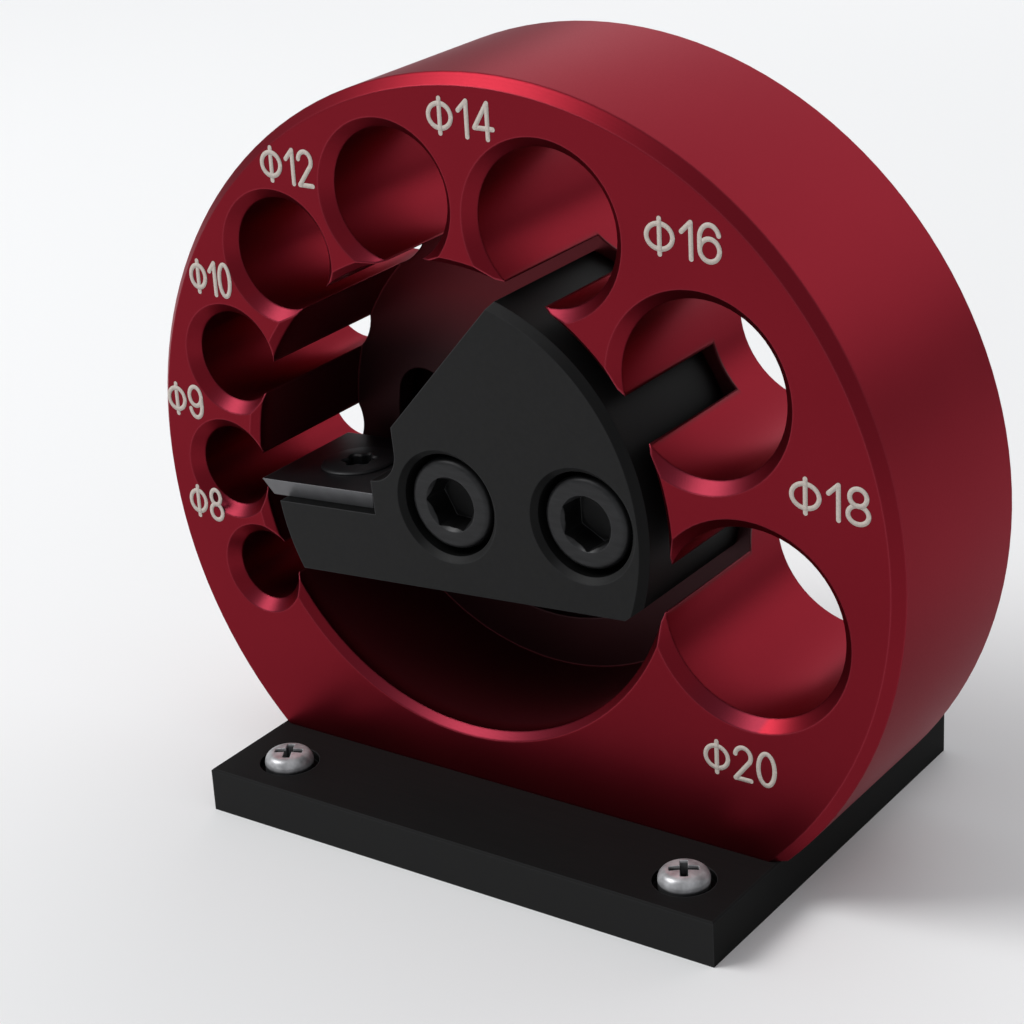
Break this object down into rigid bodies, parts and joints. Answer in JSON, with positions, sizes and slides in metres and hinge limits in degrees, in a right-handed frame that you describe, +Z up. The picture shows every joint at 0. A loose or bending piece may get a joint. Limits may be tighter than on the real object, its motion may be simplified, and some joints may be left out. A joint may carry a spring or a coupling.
{
  "type": "dowel making machine",
  "caption": "Bench-top dowel maker: a thick ring with graded dowel holes on a screw-down base, with a swinging cutter head clamped in its pocket.",
  "frame": {"origin": "centre of the underside of the base", "axes": "+Z up, the front face with the pocket and the cutter head looks along -Y, +X is to the right as seen from the front"},
  "size_m": [0.09, 0.05, 0.0815],
  "materials": {
    "ring_red": "satin red anodised, machined bores",
    "base_black": "matte black anodised",
    "carrier_black": "matte black anodised",
    "carbide": "ground dark grey carbide",
    "insert_screw_steel": "dark oiled steel",
    "cap_screw_black": "black oxide",
    "ring_screw_black": "black oxide",
    "screw_zinc": "bright zinc plate",
    "washer_steel": "plain steel",
    "nut_steel": "machined steel"
  },
  "bodies": {
    "housing": {"ring_housing": "ring_red", "base_plate": "base_black", "ring_screw_front_left": "ring_screw_black", "ring_screw_front_right": "ring_screw_black", "ring_screw_rear_left": "ring_screw_black", "ring_screw_rear_right": "ring_screw_black", "bench_screw_front_left": "screw_zinc", "bench_screw_front_right": "screw_zinc", "bench_screw_rear_left": "screw_zinc", "bench_screw_rear_right": "screw_zinc"},
    "cutter_head": {"cutter_carrier": "carrier_black", "carbide_insert": "carbide", "insert_screw": "insert_screw_steel", "pivot_flat_washer": "washer_steel", "clamp_flat_washer": "washer_steel", "slide_nut": "nut_steel"},
    "pivot_screw_washer": {"pivot_spring_washer": "washer_steel"},
    "pivot_screw_body": {"pivot_screw": "cap_screw_black"},
    "clamp_screw_washer": {"clamp_spring_washer": "washer_steel"},
    "clamp_screw_body": {"clamp_screw": "cap_screw_black"}
  },
  "joints": [
    {"name": "head_swing", "type": "hinge", "parent": "housing", "child": "cutter_head", "pos_m": [-0.006, 0, 0.0364], "axis": [0, 1, 0], "range_deg": [-21.8, 194]},
    {"name": "pivot_washer_lift", "type": "slide", "parent": "housing", "child": "pivot_screw_washer", "axis": [0, -1, 0], "range_m": [0, 0.001]},
    {"name": "pivot_screw_turn", "type": "hinge", "parent": "pivot_screw_washer", "child": "pivot_screw_body", "pos_m": [-0.006, 0, 0.0364], "axis": [0, -1, 0], "range_deg": [0, 360]},
    {"name": "clamp_washer_lift", "type": "slide", "parent": "cutter_head", "child": "clamp_screw_washer", "axis": [0, -1, 0], "range_m": [0, 0.001]},
    {"name": "clamp_screw_turn", "type": "hinge", "parent": "clamp_screw_washer", "child": "clamp_screw_body", "pos_m": [0.01056, 0, 0.03756], "axis": [0, -1, 0], "range_deg": [0, 360]}
  ],
  "couplings": [
    {"joint": "pivot_washer_lift", "follows": "pivot_screw_turn", "m_per_rad": 0.00015915},
    {"joint": "clamp_washer_lift", "follows": "clamp_screw_turn", "m_per_rad": 0.00015915}
  ]
}
